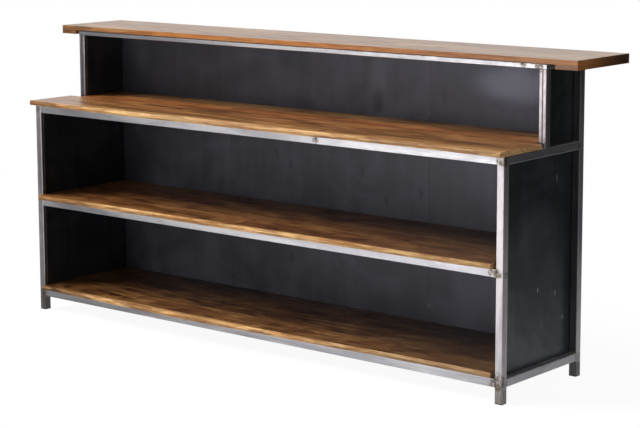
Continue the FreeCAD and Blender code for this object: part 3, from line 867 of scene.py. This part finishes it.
# %% Tacks
TACK_LENGTH = 0.012
LEFT_DULL, RIGHT_DULL = (0.165, 0.300, 0.560, 0.700, 0.901, 1.054), (0.560, 0.700)     # heights
RIGHT_BRIGHT = (0.167, 0.899, 1.070)
sheet_low, sheet_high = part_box("lower_back_sheet_middle")


def dabs(x, heights):
    """An upright line on the face of the sheets for each height."""
    return [[(x, sheet_low.y, z + step * TACK_LENGTH / 2) for step in (-1, 1)] for z in heights]


lay("seam_tacks_dull", dabs(sheet_low.x, LEFT_DULL) + dabs(sheet_high.x, RIGHT_DULL), "raw_steel",
    Pitch=0.0024, Radius=0.0019, Flatness=0.9, Seed=9, Finish=weld)
lay("seam_tacks_bright", dabs(sheet_high.x, RIGHT_BRIGHT), "raw_steel",
    Pitch=0.0024, Radius=0.0021, Flatness=0.9, Seed=9, Finish=tack)

# %% [markdown]
# ## The studio
#
# A pale floor that is white to the camera and keeps a faint shadow. The light comes from the open
# side: a broad sun-like key from the front left and above, a large soft box low in front that
# looks into the bays, and a small weak box on the right. Metal shows what is around it, so the
# floor and the world also have a face for mirrored rays alone: a floor that glows as painted light,
# with a painted pool of light in front that fades to the right and to the back, and walls that are
# bright behind on the left and dark on the right, as in a studio with one white wall.

# %% Floor
FLOOR_REACH, FLOOR_LEVEL = 30, -0.0002       # metres; a hair under the foot caps
floor_mesh = bpy.data.meshes.new("floor")
floor_mesh.from_pydata([(x * FLOOR_REACH, y * FLOOR_REACH, FLOOR_LEVEL)
                        for x, y in ((-1, -1), (1, -1), (1, 1), (-1, 1))], [], [(0, 1, 2, 3)])
floor = bpy.data.objects.new("floor", floor_mesh)
bpy.context.scene.collection.objects.link(floor)
print("floor", 2 * FLOOR_REACH, "m wide")

# %% Floor for mirrored rays
POOL = (-0.4, -2.1, 0)                  # the middle of a painted pool of light on the floor, front left
GLOW_BEHIND = 0.7                       # behind the counter on the left, under the white wall


def floor_glow(n, place):
    """How bright the floor glows in steel and sheet, as painted light. Distances are in metres."""
    x, y, _ = n.parts(place)
    from_left = x - y * 0.95            # from the back left to the front right
    to_right = x * 0.77 - y * 0.64
    to_back = x * 0.64 + y * 0.77
    glow = n.remap(from_left, -1.6, 3.7, 0.18, 1.6)
    glow = glow + n.remap(n.distance(place, POOL), 0.4, 1.6, 1.0, 0)
    glow = glow * n.remap(to_right, 1.5, 3.0, 1, 0.12)
    glow = glow * n.remap(to_back, -0.6, 1.0, 1, 0.5) * n.remap(to_back, 1.4, 4.4, 1, 0.2)
    behind = n.remap(y, 0.3, 1.0) * n.remap(x, 0.0, 1.2, 1, 0)
    return glow * (1 - behind) + behind * GLOW_BEHIND


print("the floor mirrors brightest near", POOL[:2])

# %% Floor for the camera and for light
WHITE = (1, 1, 1, 1)
BOUNCE = (0.6, 0.6, 0.6, 1)             # what the floor throws back on the counter
SHADOW_MIDDLE = (-0.6, -1.8, 0)
SHADOW_FADE = (1.5, 5.0)                # metres from there at which it starts to fade and is gone


def floor_finish():
    """White to the camera with a faint shadow, mirrored as above, and grey to the light."""
    material, n = new_finish("studio_floor")
    place = n.place()
    rays = n.add("ShaderNodeLightPath", out="Is Camera Ray")
    paint = n.add("ShaderNodeBsdfDiffuse", {}, {"Color": BOUNCE})
    mirrored = n.add("ShaderNodeEmission", {}, {"Color": WHITE, "Strength": floor_glow(n, place)})
    unseen = n.add("ShaderNodeMixShader", {}, {
        0: rays.other("Is Glossy Ray"), 1: paint, 2: mirrored})
    shaded = n.add("ShaderNodeBsdfDiffuse", {}, {"Color": WHITE})
    white = n.add("ShaderNodeEmission", {}, {"Color": WHITE, "Strength": 1.0})
    far = n.distance(place, SHADOW_MIDDLE)
    seen = n.add("ShaderNodeMixShader", {}, {
        0: n.remap(far, *SHADOW_FADE, 0.93, 1.0), 1: shaded, 2: white})
    both = n.add("ShaderNodeMixShader", {}, {0: rays, 1: unseen, 2: seen})
    n.add("ShaderNodeOutputMaterial", {}, {"Surface": both})
    return material


floor.data.materials.append(floor_finish())
print("floor finish:", floor.data.materials[0].name)

# %% World
WHITE_WALL, DARK_WALL = (-0.64, 0.77, 0), (0.8, 0.6, 0)      # which way they stand
DIM, FILL = 0.22, 0.17                  # what mirrored rays see elsewhere; what lights the counter

world = bpy.data.worlds.new("studio")
bpy.context.scene.world = world
world.use_nodes = True
w = Shader(world.node_tree)
direction = w.add("ShaderNodeTexCoord", out="Generated")
white_wall, dark_wall = [w.add("ShaderNodeVectorMath", {"operation": "DOT_PRODUCT"}, {
    0: direction, 1: wall}, out="Value") for wall in (WHITE_WALL, DARK_WALL)]
walls = (w.remap(white_wall, 0.45, 0.92, 0, 0.85) + DIM) * w.remap(dark_wall, 0.1, 0.75, 1, 0.08)
overhead = w.remap(w.parts(direction)[2], 0.4, 0.9, 0, 0.8)
rays = w.add("ShaderNodeLightPath", out="Is Camera Ray")
glossy = rays.other("Is Glossy Ray")
strength = rays + (1 - rays) * (glossy * (walls + overhead) + (1 - glossy) * FILL)
w.add("ShaderNodeOutputWorld", {}, {"Surface": w.add("ShaderNodeBackground", {}, {
    "Color": WHITE, "Strength": strength})})
print("world fill", FILL)


# %% Lamps
def lamp(name, kind, energy, towards):
    """A lamp that shines one way, still at the origin."""
    light = bpy.data.lights.new(name, kind)
    light.energy = energy
    piece = bpy.data.objects.new(name, light)
    bpy.context.scene.collection.objects.link(piece)
    piece.rotation_euler = Vector(towards).to_track_quat("-Z", "Y").to_euler()
    print(name, kind.lower(), energy)
    return piece


def soft_box(name, place, aim, size, watts):
    """A rectangle of light that the camera doesn't see."""
    box = lamp(name, "AREA", watts, Vector(aim) - Vector(place))
    box.location = place
    box.data.shape, box.data.size, box.data.size_y = "RECTANGLE", *size
    box.visible_camera = False


soft_box("front_box", (-1.6, -6.0, 1.05), (0.2, 0.0, 0.5), (3.4, 1.6), 80)
soft_box("camera_side_box", (3.4, -3.6, 1.7), (0.6, 0.0, 0.8), (1.4, 1.4), 9)
key = lamp("key", "SUN", 4.4, (0.95, 0.62, -1.05))
key.data.angle = 0.5
key.visible_glossy = False

bpy.context.scene.view_settings.view_transform = "Standard"
